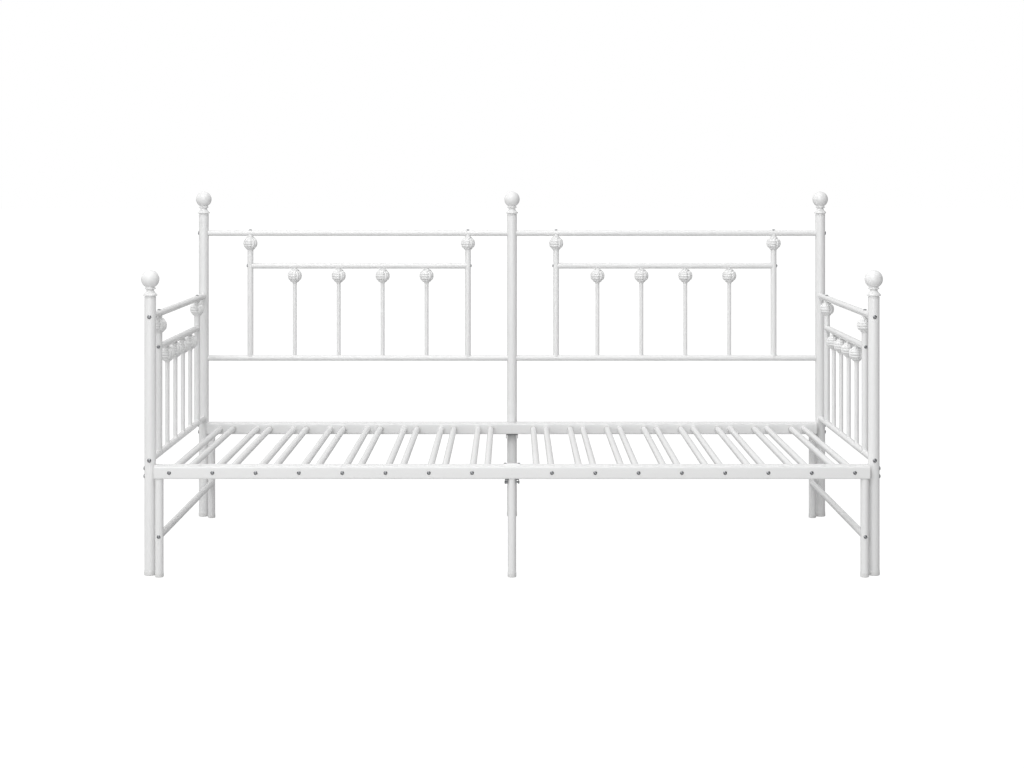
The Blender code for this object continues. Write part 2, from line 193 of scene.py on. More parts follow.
def add_node(tree, kind, values=None, **settings):
    """A new shader node, its own settings made first and then its inputs' values."""
    node = tree.nodes.new(f"ShaderNode{kind}")
    for label, setting in settings.items():
        setattr(node, label, setting)
    for label, value in (values or {}).items():
        node.inputs[label].default_value = value
    return node


def join(tree, *pairs):
    """Links, each from an output to an input."""
    for output, target in pairs:
        tree.links.new(output, target)


scene = bpy.context.scene
scene.view_settings.view_transform = "Standard"
world = bpy.data.worlds.new("pale_room")
world.use_nodes = True
scene.world = world
sky = world.node_tree
room = sky.nodes["Background"]
room.inputs["Color"].default_value = WHITE
way = add_node(sky, "TexCoord")
facing = add_node(sky, "VectorMath", {1: BRIGHT_SIDE}, operation="DOT_PRODUCT")
levels = {"From Min": -1.0, "From Max": 1.0, "To Min": ROOM_DARK, "To Max": ROOM_BRIGHT}
dim = add_node(sky, "MapRange", levels, interpolation_type="SMOOTHSTEP")
backdrop = add_node(sky, "Background", {"Color": WHITE, "Strength": 1.0})
ray = add_node(sky, "LightPath")
choose = add_node(sky, "MixShader")
join(
    sky,
    (way.outputs["Generated"], facing.inputs[0]),
    (facing.outputs["Value"], dim.inputs["Value"]),
    (dim.outputs["Result"], room.inputs["Strength"]),
    (ray.outputs["Is Camera Ray"], choose.inputs["Fac"]),
    (room.outputs[0], choose.inputs[1]),
    (backdrop.outputs[0], choose.inputs[2]),
    (choose.outputs[0], sky.nodes["World Output"].inputs["Surface"]),
)


# %% Lay the floor
FLOOR_HALF = 60.0
FLOOR_GLOW = 0.88
FLOOR_SHADE = 0.50
GLOW_STRENGTH = 1.13


def floor_finish():
    """Pale matt floor: part of its brightness is its own, the rest is the room's."""
    material = bpy.data.materials.new("pale_floor")
    material.use_nodes = True
    tree = material.node_tree
    shader = tree.nodes["Principled BSDF"]
    shader.inputs["Base Color"].default_value = (FLOOR_SHADE, FLOOR_SHADE, FLOOR_SHADE, 1.0)
    shader.inputs["Roughness"].default_value = 0.9
    shader.inputs["Specular IOR Level"].default_value = 0.1
    glow = add_node(tree, "Emission", {"Strength": GLOW_STRENGTH})
    seen = add_node(tree, "LightPath")
    share = add_node(tree, "Math", {1: FLOOR_GLOW}, operation="MULTIPLY")
    blend = add_node(tree, "MixShader")
    join(
        tree,
        (seen.outputs["Is Camera Ray"], share.inputs[0]),
        (share.outputs[0], blend.inputs["Fac"]),
        (shader.outputs[0], blend.inputs[1]),
        (glow.outputs[0], blend.inputs[2]),
        (blend.outputs[0], tree.nodes["Material Output"].inputs["Surface"]),
    )
    return material


floor_mesh = bpy.data.meshes.new("floor")
square = ((-1, -1), (1, -1), (1, 1), (-1, 1))
floor_corners = [(x * FLOOR_HALF, y * FLOOR_HALF, 0.0) for x, y in square]
floor_mesh.from_pydata(floor_corners, [], [(0, 1, 2, 3)])
floor = show("floor", floor_mesh)
floor_mesh.materials.append(floor_finish())


# %% [markdown]
# ## From grids to meshes
#
# Nearly every piece here is a grid: rows of points along something and columns of points
# around it. A part is kept as two arrays, its points and its four-cornered faces, until
# all parts of a piece are known. Then they are stacked into one mesh in a single step.
# Where a row shrinks to one point, at the pole of a ball, the face there loses a corner.

# %% Net: join a grid of points into faces
def net(points, loop_rows=False):
    """Faces between the neighbouring rows of a grid whose columns go once round.

    Face = (row, column), (row, next column), (next row, next column), (next row, column).
    Rows go up and columns go round anticlockwise seen from above, so faces point out.
    loop_rows joins the last row to the first. A row in one place is a pole: one point.
    """
    rows, columns = points.shape[:2]
    index = np.arange(rows * columns).reshape(rows, columns)
    pole = np.ptp(points, axis=1).max(axis=1) < 1.0e-9
    index[pole] = index[pole][:, :1]
    below = index if loop_rows else index[:-1]
    above = np.roll(index, -1, axis=0) if loop_rows else index[1:]
    corners = (below, np.roll(below, -1, axis=1), np.roll(above, -1, axis=1), above)
    return points.reshape(-1, 3), np.stack(corners, axis=-1).reshape(-1, 4)


def place(part, axis="z", at=(0.0, 0.0, 0.0)):
    """Lay a part that stands along Z along another axis, then move it.

    Passing the coordinates round in order turns the part without mirroring it. A minus
    sign before the axis first turns the part upside down about X.
    """
    points, faces = part
    if axis[0] == "-":
        points = points * np.array((1.0, -1.0, -1.0))
    turned = np.roll(points, {"z": 0, "x": 1, "y": 2}[axis[-1]], axis=1)
    return turned + np.array(at), faces


def repeat(part, places):
    """Copies of one part, one at each place, as a single part."""
    points, faces = part
    places = np.array(places, float).reshape(-1, 1, 3)
    shift = len(points) * np.arange(len(places)).reshape(-1, 1, 1)
    return (points[None] + places).reshape(-1, 3), (faces[None] + shift).reshape(-1, 4)


def stack(parts):
    """Several parts as one: points one after another, faces renumbered to match."""
    starts = np.cumsum([0] + [len(points) for points, _ in parts[:-1]])
    points = np.concatenate([points for points, _ in parts])
    faces = np.concatenate([faces + start for (_, faces), start in zip(parts, starts)])
    return points, faces


# %% Mesh: put a stack of parts into Blender
CREASE = 35.0


def soften(mesh, crease):
    """Smooth shading, except over edges that bend by more than crease degrees."""
    mesh.shade_smooth()
    mesh.set_sharp_from_angle(angle=math.radians(crease))


def mesh_of(name, parts, crease=CREASE):
    """One mesh from parts. A corner equal to the next one is dropped, which turns the
    faces at a pole into triangles, and points that no face uses are left out."""
    points, faces = stack(parts)
    keep = faces != np.roll(faces, -1, axis=1)
    whole = keep.sum(axis=1) > 2
    faces, keep = faces[whole], keep[whole]
    used, corners = np.unique(faces[keep], return_inverse=True)
    starts = np.concatenate([[0], np.cumsum(keep.sum(axis=1))[:-1]])
    mesh = bpy.data.meshes.new(name)
    mesh.vertices.add(len(used))
    mesh.vertices.foreach_set("co", points[used].astype(np.float32).ravel())
    mesh.loops.add(len(corners))
    mesh.loops.foreach_set("vertex_index", corners.astype(np.int32))
    mesh.polygons.add(len(faces))
    mesh.polygons.foreach_set("loop_start", starts.astype(np.int32))
    mesh.update(calc_edges=True)
    soften(mesh, crease)
    return mesh


def piece(name, parts, body, finish, nodes=(), crease=CREASE):
    """Make the object, give it its finish and tell the frame what it rides on."""
    item = show(name, mesh_of(name, parts, crease))
    item.data.materials.append(finish)
    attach(item, body)
    if nodes:
        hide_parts(*nodes)
    return item


# %% [markdown]
# ## The finishes
#
# Powder coat is plastic dust melted onto steel. It levels out while it melts, but never
# quite: a fine orange peel stays, a millimetre or so across, with a longer, lazier wave
# below it. The gloss varies a little from where hands and dust have been. The same two
# effects, at other scales, serve the moulded plastic, so each is a node group with its
# own inputs. The zinc of the screws uses the same two at finer scales, for its cloudy crystals.

# %% Groups: effects that several finishes share
def group_of(name, inputs, output):
    """An empty shader group of numbers, and its input and output nodes."""
    tree = bpy.data.node_groups.new(name, "ShaderNodeTree")
    for label, value in inputs:
        socket = tree.interface.new_socket(label, in_out="INPUT", socket_type="NodeSocketFloat")
        socket.default_value = value
    tree.interface.new_socket(output, in_out="OUTPUT", socket_type="NodeSocketFloat")
    return tree, tree.nodes.new("NodeGroupInput"), tree.nodes.new("NodeGroupOutput")


def noise(tree, source, scale_label, detail, roughness):
    """A noise on the piece's own coordinates whose scale comes from the group's input."""
    where = add_node(tree, "TexCoord")
    cloud = add_node(tree, "TexNoise", {"Detail": detail, "Roughness": roughness})
    scale = source.outputs[scale_label]
    join(tree, (where.outputs["Object"], cloud.inputs["Vector"]), (scale, cloud.inputs["Scale"]))
    return cloud.outputs["Fac"]


def blend_values(tree, operation, first, second, clamp=False):
    """One step of arithmetic between two values, each a number or another output."""
    step = add_node(tree, "Math", operation=operation, use_clamp=clamp)
    for socket, value in zip(step.inputs, (first, second)):
        if isinstance(value, float):
            socket.default_value = value
        else:
            join(tree, (value, socket))
    return step.outputs[0]


def surface_relief():
    """Height = fine peel + share × slow wave, both noises on Object coordinates."""
    inputs = (("Peel Scale", 800.0), ("Wave Scale", 90.0), ("Wave Share", 0.6))
    tree, source, sink = group_of("surface_relief", inputs, "Height")
    peel = noise(tree, source, "Peel Scale", 1.0, 0.4)
    wave = noise(tree, source, "Wave Scale", 1.0, 0.5)
    part = blend_values(tree, "MULTIPLY", wave, source.outputs["Wave Share"])
    join(tree, (blend_values(tree, "ADD", peel, part), sink.inputs["Height"]))
    return tree


def handling_marks():
    """Mask = contrast × (patches − half) + half, a soft cloud of touched places."""
    inputs = (("Patch Scale", 9.0), ("Contrast", 1.6))
    tree, source, sink = group_of("handling_marks", inputs, "Mask")
    patches = noise(tree, source, "Patch Scale", 2.0, 0.5)
    centred = blend_values(tree, "SUBTRACT", patches, 0.5)
    scaled = blend_values(tree, "MULTIPLY", centred, source.outputs["Contrast"])
    join(tree, (blend_values(tree, "ADD", scaled, 0.5, True), sink.inputs["Mask"]))
    return tree


RELIEF = surface_relief()
MARKS = handling_marks()
print("shared effects:", RELIEF.name, MARKS.name)


# %% Finishes: powder coat, zinc plate, a zinc copy darkened with painted shade, and moulded plastic
def finish_of(name, slot, colors, gloss, metallic=0.0, *, relief, marks, depth):
    """A finish for one of the frame's slots, whose colour and roughness follow the marks.

    Base colour = first + mask × (second − first), roughness the same way, and the
    relief's height bends the surface by depth metres. relief and marks hold the values
    of the two groups' inputs in order.
    """
    material = bpy.data.materials.new(name)
    material["slot"] = slot
    material.use_nodes = True
    tree = material.node_tree
    shader = tree.nodes["Principled BSDF"]
    shader.inputs["Metallic"].default_value = metallic
    mask = add_node(tree, "Group", dict(enumerate(marks)), node_tree=MARKS).outputs["Mask"]
    height = add_node(tree, "Group", dict(enumerate(relief)), node_tree=RELIEF).outputs["Height"]
    ramp = add_node(tree, "Mix", data_type="RGBA")
    ramp_color = [s for s in ramp.outputs if s.type == "RGBA"][0]
    for label, color in zip(("A", "B"), colors):
        socket = [s for s in ramp.inputs if s.name == label and s.type == "RGBA"][0]
        socket.default_value = (*color, 1.0)
    spread = add_node(tree, "MapRange", {"To Min": gloss[0], "To Max": gloss[1]})
    bump = add_node(tree, "Bump", {"Strength": 1.0, "Distance": depth})
    join(
        tree,
        (mask, ramp.inputs[0]),
        (ramp_color, shader.inputs["Base Color"]),
        (mask, spread.inputs["Value"]),
        (spread.outputs["Result"], shader.inputs["Roughness"]),
        (height, bump.inputs["Height"]),
        (bump.outputs["Normal"], shader.inputs["Normal"]),
    )
    return material


PLATING = {"relief": (2600.0, 500.0, 0.5), "marks": (420.0, 2.6), "depth": 0.00003}
COAT = finish_of(
    "baked_white_coat",
    "white_powder_coat",
    ((0.795, 0.797, 0.797), (0.815, 0.815, 0.814)),
    gloss=(0.19, 0.262),
    relief=(750.0, 150.0, 0.5),
    marks=(6.0, 1.1),
    depth=0.000012,
)
zinc_colors = ((0.22, 0.225, 0.235), (0.33, 0.335, 0.345))
ZINC = finish_of("cloudy_zinc", "zinc_plate", zinc_colors, (0.12, 0.20), 1.0, **PLATING)
# The fork plates' zinc: a darker, duller copy of the zinc plate. Its extra darkness is painted
# shade, standing in for the shade under the pull-out rails.
painted_shade_zinc_colors = ((0.15, 0.155, 0.16), (0.22, 0.225, 0.23))
ZINC_WITH_PAINTED_SHADE = finish_of("zinc_with_painted_shade", "zinc_plate", painted_shade_zinc_colors, (0.30, 0.42), 1.0, **PLATING)
PLASTIC = finish_of(
    "moulded_plastic",
    "white_plastic",
    ((0.74, 0.74, 0.735), (0.79, 0.79, 0.785)),
    gloss=(0.42, 0.55),
    relief=(2200.0, 260.0, 0.3),
    marks=(60.0, 1.5),
    depth=0.00005,
)
print("finishes:", COAT.name, ZINC.name, PLASTIC.name)


# %% [markdown]
# ## Round tubes
#
# A tube could be a cylinder with a hole cut through it. Turning a closed outline about
# the axis gives the outer skin, both ends and the bore at once, and because each row of
# points is known, its ends can be shaped too. Where a tube meets another round one, its
# end is cut to a saddle, which fitters call a fish mouth.

# %% Turn outlines and cut saddles
def spin(outline, sides, loop=False):
    """Point = (r cos a, r sin a, h): (r, h) walks the outline, a goes once round."""
    outline = np.array(outline, float)
    angle = np.arange(sides) * (2.0 * math.pi / sides)
    radius, height = outline[:, :1], outline[:, 1:]
    points = np.stack(
        [radius * np.cos(angle), radius * np.sin(angle), height + 0.0 * angle], axis=-1
    )
    return net(points, loop)


def saddle(radius, sideways):
    """How far from a round piece's axis its surface lies: square root of R² − d²."""
    return np.sqrt(np.clip(radius**2 - sideways**2, 0.0, None))


def pipe(length, radius, wall, sides, low=None, high=None):
    """A tube along Z from 0 to length, with a wall.

    low and high are None for a square end, or (radius, across, shift) of the round
    piece whose axis crosses there: the end then stands off by the saddle height, with
    d = the coordinate numbered across, plus shift.
    """
    edge = 0.0004
    outline = (
        (radius - edge, 0.0), (radius, edge), (radius, length - edge),
        (radius - edge, length), (radius - wall, length), (radius - wall, 0.0),
    )
    points, faces = spin(outline, sides, loop=True)
    return fish_mouth(points, length, low, high), faces


def rail_pipe(length, end):
    """A tube of the rails' size, both ends cut to the same kind of round piece."""
    return pipe(length, RAIL_RADIUS, THIN_WALL, 36, end, end)


def fish_mouth(points, length, low, high):
    """Move both ends of a tube along Z onto the round pieces they meet."""
    points = points.copy()
    near_low = points[:, 2] < length / 2.0
    for end, rows, sign, base in ((low, near_low, 1.0, 0.0), (high, ~near_low, -1.0, length)):
        if end is None:
            continue
        radius, across, shift = end
        reach = saddle(radius + FIT, points[rows, across] + shift)
        inset = np.abs(points[rows, 2] - base)
        points[rows, 2] = base + sign * (reach + inset)
    return points


# %% [markdown]
# ## Welds
#
# Where a bar is welded on, melted wire leaves a hollow-faced bead with small ripples.
# The paint softens them but doesn't hide them. The bead is a little three-sided profile
# carried round the bar, sitting on whatever the bar stands on, flat or round.

# %% Carry a bead round the foot of a bar
def weld(bar_radius, size, on=None, sides=32, ripples=11):
    """Point = (r + u) around the bar, at the height of the surface there, plus v.

    (u, v) runs over a quarter circle that is hollow towards the corner and closes
    behind it. size swells by a few percent with cos(ripples × a). on is (radius,
    across) of the round piece under the bar, or None for a flat face.
    """
    turn = np.linspace(0.0, math.pi / 2.0, 6)
    out = np.concatenate([1.0 - np.sin(turn), [-0.25]])
    rise = np.concatenate([1.0 - np.cos(turn), [-0.25]])
    angle = np.arange(sides) * (2.0 * math.pi / sides)
    swell = size * (1.0 + 0.10 * np.cos(ripples * angle) + 0.05 * np.cos(2.0 * angle))
    radius = bar_radius + out[:, None] * swell
    flat = np.stack([radius * np.cos(angle), radius * np.sin(angle)], axis=-1)
    ground = 0.0 if on is None else saddle(on[0], flat[..., on[1]])
    height = ground + rise[:, None] * swell
    return net(np.concatenate([flat, height[..., None]], axis=-1), loop_rows=True)


THIN_BEAD = 0.0018
BEAD = 0.0019
THICK_BEAD = 0.0020
print("weld bead:", weld(RAIL_RADIUS, THICK_BEAD)[0].shape[0], "points")


# %% [markdown]
# ## Square tubes
#
# The deck rails are rectangular tubes with rounded corners. Their section is a ring of
# points, four straight sides and four quarter circles, carried along the tube. Smaller
# copies of the same ring make the broken edges at the ends and the inner wall.

# %% Draw a rounded ring and carry it along
def rounded_ring(width, height, corner, arc=5, straight=6):
    """Points once round a rectangle whose corners are quarter circles.

    Each corner's centre is half the size less the radius away from the middle. Points
    on the straight sides let an end follow the round of a post.
    """
    pieces = []
    for quarter in range(4):
        turn = math.pi / 2.0 * (quarter + np.linspace(-1.0, 0.0, arc))
        sx = 1.0 if quarter in (0, 1) else -1.0
        sy = -1.0 if quarter in (0, 3) else 1.0
        center = np.array((sx * (width / 2.0 - corner), sy * (height / 2.0 - corner)))
        pieces.append(center + corner * np.stack([np.cos(turn), np.sin(turn)], axis=-1))
    ring = []
    for current, after in zip(pieces, pieces[1:] + pieces[:1]):
        share = np.arange(1, straight)[:, None] / straight
        ring.append(current)
        ring.append(current[-1] + share * (after[0] - current[-1]))
    return np.concatenate(ring)


BOX_EDGE = 0.00015
LEAST_CORNER = 0.0008


def box_tube(length, width, height, wall, corner, low=None, high=None):
    """A rectangular tube along Z, made of six rings: broken edge, side, side, broken
    edge, and the inner wall back again."""
    edge = BOX_EDGE
    rings = (
        (edge, 0.0), (0.0, edge), (0.0, length - edge), (edge, length), (wall, length),
        (wall, 0.0),
    )
    rows = []
    for inset, level in rings:
        radius = max(corner - inset, LEAST_CORNER)
        ring = rounded_ring(width - 2.0 * inset, height - 2.0 * inset, radius)
        rows.append(np.column_stack([ring, np.full(len(ring), level)]))
    points, faces = net(np.stack(rows), loop_rows=True)
    return fish_mouth(points, length, low, high), faces


print("rail section:", len(rounded_ring(RAIL_DEPTH, RAIL_HEIGHT, 0.003)), "points")


# %% [markdown]
# ## Posts and glides
#
# A post is plain tube. What makes it look finished is its foot: a plastic cup pushed
# over the end, so the steel doesn't scratch the floor. The cup is turned from an outline
# that goes up its outside and down its inside, with a soft lower edge.

# %% Make the posts, legs and their glides
GLIDE_HEIGHT = 0.0130
GLIDE_SKIN = 0.0007
GLIDE_SOLE = 0.0030


def glide(radius):
    """Cup: a rounded sole, a thin skin outside the tube and a floor inside it."""
    outer = radius + GLIDE_SKIN
    soft = 0.0022
    turn = np.linspace(-math.pi / 2.0, 0.0, 6)
    edge = np.stack([outer - soft + soft * np.cos(turn), soft + soft * np.sin(turn)], axis=-1)
    rim = (
        (outer, GLIDE_HEIGHT - 0.0005), (outer - 0.0004, GLIDE_HEIGHT),
        (radius + 0.0001, GLIDE_HEIGHT), (radius + 0.0001, GLIDE_SOLE),
        (0.0, GLIDE_SOLE),
    )
    return spin(np.concatenate([[(0.0, 0.0)], edge, rim]), 40)


def standing_tube(node, radius, wall, body, extra=(), rise=0.0):
    """A post or leg at its node's place, with a glide under it."""
    x, y, _ = middle(node)
    length = top_of(node) + rise - GLIDE_SOLE
    tube = place(pipe(length, radius, wall, 40), "z", (x, y, GLIDE_SOLE))
    piece(f"tube_{node}", [tube, *extra], body, COAT, [node])
    piece(f"glide_{node}", [place(glide(radius), "z", (x, y, 0.0))], body, PLASTIC)


POSTS = ("front_left", "front_right", "back_left", "back_center", "back_right")
for label in POSTS:
    standing_tube(f"post_{label}", POST_RADIUS, POST_WALL, FIXED)
print("posts:", len(POSTS))


# %% [markdown]
# ## Finials
#
# Each post ends in a turned knob: a short ring that sits on the tube, a collar, a waist,
# a bead and a ball. A turner would cut it from one outline. The outline here is a few
# points joined by a smooth curve, so every hollow flows into the next round, and the
# ball itself is an exact arc.

# %% Turn the finials
STEM = np.array(
    (
        (16.1, 0.3), (16.3, 0.9), (16.3, 2.4), (15.3, 3.0), (15.3, 5.5), (18.6, 5.9),
        (19.5, 6.8), (19.6, 8.6), (19.1, 10.0), (17.3, 12.0), (14.6, 14.5),
        (12.3, 17.2), (11.0, 19.6), (10.6, 21.8), (11.0, 23.6), (12.9, 24.3),
        (14.9, 25.0), (15.6, 26.5), (14.9, 28.0), (13.0, 29.0), (12.4, 30.2),
    )
) / 1000.0
KNOB_RADIUS = 0.0254
KNOB_HEIGHT = 0.0527
SPIGOT_RADIUS = 0.0138
SPIGOT_DEPTH = 0.0250


def flowing(points, steps):
    """A smooth curve through points (Catmull-Rom).

    Between b and c, with a before and d after, at t from 0 to 1: half of
    2b + (c − a)t + (2a − 5b + 4c − d)t² + (3b − a − 3c + d)t³.
    """
    padded = np.concatenate([points[:1], points, points[-1:]])
    a, b, c, d = (padded[i : len(padded) - 3 + i][:, None] for i in range(4))
    t = (np.arange(steps) / steps)[None, :, None]
    curve = 2 * b + (c - a) * t + (2 * a - 5 * b + 4 * c - d) * t**2
    curve = curve + (3 * b - a - 3 * c + d) * t**3
    return np.concatenate([0.5 * curve.reshape(-1, points.shape[1]), points[-1:]])


def finial():
    """Spigot in the tube, the flowing stem, then the ball's arc up to its top."""
    start = -math.acos(STEM[-1, 0] / KNOB_RADIUS)
    arc = np.linspace(start, math.pi / 2.0, 30)
    ball = np.stack([KNOB_RADIUS * np.cos(arc), KNOB_HEIGHT + KNOB_RADIUS * np.sin(arc)], axis=-1)
    ball[-1, 0] = 0.0
    spigot = (
        (0.0, -SPIGOT_DEPTH), (SPIGOT_RADIUS - 0.001, -SPIGOT_DEPTH),
        (SPIGOT_RADIUS, 0.001 - SPIGOT_DEPTH), (SPIGOT_RADIUS, FIT), (0.0152, FIT),
    )
    return spin(np.concatenate([spigot, flowing(STEM, 4), ball]), 56)


for label in POSTS:
    post = f"post_{label}"
    x, y, _ = middle(post)
    turned = place(finial(), "z", (x, y, top_of(post)))
    piece(f"knob_{label}", [turned], FIXED, COAT, [f"finial_{label}"])
print("finials:", len(POSTS))


# %% [markdown]
# ## Knotted balls
#
# The cast balls copy a sailor's ball knot. Three bundles of three strands go round
# the ball, one bundle round each axis, and each dives under the next. On a sphere, a
# bundle is where the angle from one of the three middle planes is small, and a strand is
# a round ridge along it. The ball's surface is the highest strand at each point, so the
# knot needs no cutting or joining, only one formula.

# %% Shape the knotted ball
STRAND_PITCH = math.radians(22.5)
STRAND_RISE = 0.0028
STRAND_DIVE = 0.0026
BALL_TURN = math.radians(-29.0)
BALL_CREASE = 60.0
BAR_NECK = 0.0042
UPRIGHT_NECK = 0.0022


def ease(value):
    """A soft step from 0 to 1: 3t² − 2t³."""
    t = np.clip(value, 0.0, 1.0)
    return t * t * (3.0 - 2.0 * t)


def bundle(along, over, under):
    """Height of one bundle of strands that circles the axis numbered along.

    tilt = the angle from the middle plane. Within one and a half pitches of it a
    strand's height is rise × square root of 1 − t², t being the distance from the
    strand's middle. The bundle sinks by dive where it passes under another, which is
    where the direction leans towards under rather than over.
    """
    tilt = np.arcsin(np.clip(along, -1.0, 1.0)) / STRAND_PITCH
    t = 2.0 * (tilt - np.round(tilt))
    ridge = STRAND_RISE * np.sqrt(1.0 - 0.985 * t * t)
    ridge = np.where(np.abs(tilt) < 1.5, ridge, -STRAND_DIVE)
    lean = under**2 / (under**2 + over**2 + 1.0e-9)
    return ridge - STRAND_DIVE * ease(2.2 * lean - 0.6)


def knotted_ball(rows=80, columns=144):
    """Point = direction × (inner radius + highest strand) over latitude and longitude."""
    latitude = np.linspace(-math.pi / 2.0, math.pi / 2.0, rows + 1)[:, None]
    longitude = (np.arange(columns) * (2.0 * math.pi / columns))[None]
    spun = longitude - BALL_TURN
    x = np.cos(latitude) * np.cos(spun)
    y = np.cos(latitude) * np.sin(spun)
    z = np.sin(latitude) + 0.0 * longitude
    height = np.maximum(bundle(x, z, y), np.maximum(bundle(y, x, z), bundle(z, y, x)))
    height[0] = height[0].mean()
    height[-1] = height[-1].mean()
    radius = BALL_RADIUS - STRAND_RISE + height
    flat = radius * np.cos(latitude)
    flat[0] = 0.0
    flat[-1] = 0.0
    points = [flat * np.cos(longitude), flat * np.sin(longitude), radius * np.sin(latitude)]
    return net(np.stack(points, axis=-1))


def neck(radius, length):
    """A short cone under the ball where the casting closes on its bar.

    It starts where the ball is just wider than the bar: the square root of R² − r²
    below the ball's middle.
    """
    wide = radius + 0.0020
    start = -math.sqrt((BALL_RADIUS - 0.0004) ** 2 - wide**2)
    outline = (
        (radius + 0.0001, start - length), (radius + 0.0007, start - length + 0.0003),
        (radius + 0.0010, start - 0.6 * length), (wide, start - 0.0002),
        (wide, start + 0.0030), (radius + 0.0001, start + 0.0030),
    )
    return spin(outline, 32, loop=True)


BALL = knotted_ball()
ball_width = round(2000.0 * np.abs(BALL[0]).max(), 1)
print("knotted ball:", len(BALL[0]), "points, width", ball_width, "mm")


def add_ball(name, at, bar_radius, neck_length):
    """One casting: the knotted ball and its neck, round the bar at a point."""
    parts = [place(BALL, "z", at), place(neck(bar_radius, neck_length), "z", at)]
    piece(name, parts, FIXED, COAT, crease=BALL_CREASE)


# %% [markdown]
# ## Screws
#
# Everything that isn't welded is held by button-head screws with a hexagon socket. One
# head is a small grid: rings going up over the dome, then a ring that is six-sided, then
# the same ring lower down, and a point in the middle of the socket. It is repeated at
# every place where the bed is screwed together.

# %% Make button heads
def button_head(radius, rise, sink):
    """Rings (r, h): a shank, the flat under the head, a dome and the socket.

    Dome: h = rise × (1/4 + 3/4 × (1 − (r/R)²)^0.6). In the socket, rings are six-sided:
    r = flat / cos(angle from the middle of the nearest side).
    """
    sides = 24
    angle = np.arange(sides) * (2.0 * math.pi / sides)
    under = 0.12 * rise
    shank = ((0.84 * radius, -sink), (0.84 * radius, under), (0.97 * radius, under))
    share = np.array((1.0, 0.93, 0.80, 0.62, 0.44))
    dome = rise * (0.25 + 0.75 * (1.0 - share**2) ** 0.6)
    rings = np.concatenate([shank, np.stack([radius * share, dome], axis=-1)])
    side_angle = np.mod(angle, math.pi / 3.0) - math.pi / 6.0
    socket = 0.33 * radius / np.cos(side_angle)
    radii = np.concatenate(
        [rings[:, :1] + 0.0 * angle, [1.05 * socket, socket, socket, 0.0 * socket]]
    )
    levels = (dome[-1] + 0.01 * rise, dome[-1] - 0.1 * rise, 0.15 * rise, 0.02 * rise)
    heights = np.concatenate([rings[:, 1], levels])[:, None] + 0.0 * angle
    points = np.stack([radii * np.cos(angle), radii * np.sin(angle), heights], axis=-1)
    return net(points)


SCREW_PLACES = []


def screws(name, places, facing, body, radius=0.0054, rise=0.0030, sink=0.0017):
    """The same head at each place, pointing along the axis facing."""
    head = place(button_head(radius, rise, sink), facing)
    piece(f"screws_{name}", [repeat(head, places)], body, ZINC)
    SCREW_PLACES.extend(places)


# %% [markdown]
# ## The back
#
# Each half of the back has a top rail, two thick uprights with a ball under the rail,
# and a welded panel: a low rail, a middle rail and four thin bars. The rails are cut to
# the round of the posts, and the bars stand on the low rail in a small weld.

# %% Build a panel of bars, along X or along Y
def panel(name, axis, start, length, levels, bar_places, upright_places, fixed, body_node):
    """Low rail from post to post, middle rail between uprights, bars between both.

    axis is the way the rails run, start and fixed give the low end and the other
    coordinate, and places are distances from the low end.
    """
    low_z, mid_z = levels
    across_rail = 0 if axis == "x" else 1
    across_bar = 1 - across_rail

    def spot(distance, z):
        """A place on the panel, by its distance from the low end and its height."""
        return (start + distance, fixed, z) if axis == "x" else (fixed, start + distance, z)

    post_end = (POST_RADIUS, across_rail, 0.0)
    upright_end = (RAIL_RADIUS, across_rail, 0.0)
    low_rail = rail_pipe(length, post_end)
    gap = upright_places[1] - upright_places[0]
    mid_rail = rail_pipe(gap, upright_end)
    rail_end = (RAIL_RADIUS - 0.0005, across_bar, 0.0)
    bar = pipe(mid_z - low_z, BAR_RADIUS, THIN_WALL, 28, rail_end, rail_end)
    bead = weld(BAR_RADIUS, BEAD, (RAIL_RADIUS, across_bar), 28)
    feet = [spot(distance, low_z) for distance in bar_places]
    parts = [
        place(low_rail, axis, spot(0.0, low_z)),
        place(mid_rail, axis, spot(upright_places[0], mid_z)),
        repeat(bar, feet),
        repeat(bead, feet),
    ]
    piece(name, parts, FIXED, COAT, [body_node])
    for index, distance in enumerate(bar_places):
        at = spot(distance, mid_z - SPINDLE_BALL_DROP)
        add_ball(f"ball_{body_node}_{index + 1}", at, BAR_RADIUS, BAR_NECK)


def upright(node, across, bottom, top):
    """A thick bar between two rails, with a weld at its foot and a ball at its head."""
    x, y, _ = middle(node)
    end = (RAIL_RADIUS, across, 0.0)
    bar = rail_pipe(top - bottom, end)
    bead = weld(RAIL_RADIUS, THICK_BEAD, (RAIL_RADIUS, across), 36)
    parts = [place(bar, "z", (x, y, bottom)), place(bead, "z", (x, y, bottom))]
    piece(f"bar_{node}", parts, FIXED, COAT, [node])
    add_ball(f"ball_{node}", (x, y, top - UPRIGHT_BALL_DROP), RAIL_RADIUS, UPRIGHT_NECK)


# %% Assemble both halves of the back
BACK_TOP_Z = middle("back_top_rail_left")[2]
BACK_LOW_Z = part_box("back_spindle_panel_left")[0].z + RAIL_RADIUS
BACK_RAIL_DROP = 0.1080
BACK_MID_Z = BACK_TOP_Z - BACK_RAIL_DROP
SMALL_HEAD = 0.0050
POST_HEAD = 0.0058
LARGE_HEAD = 0.0060

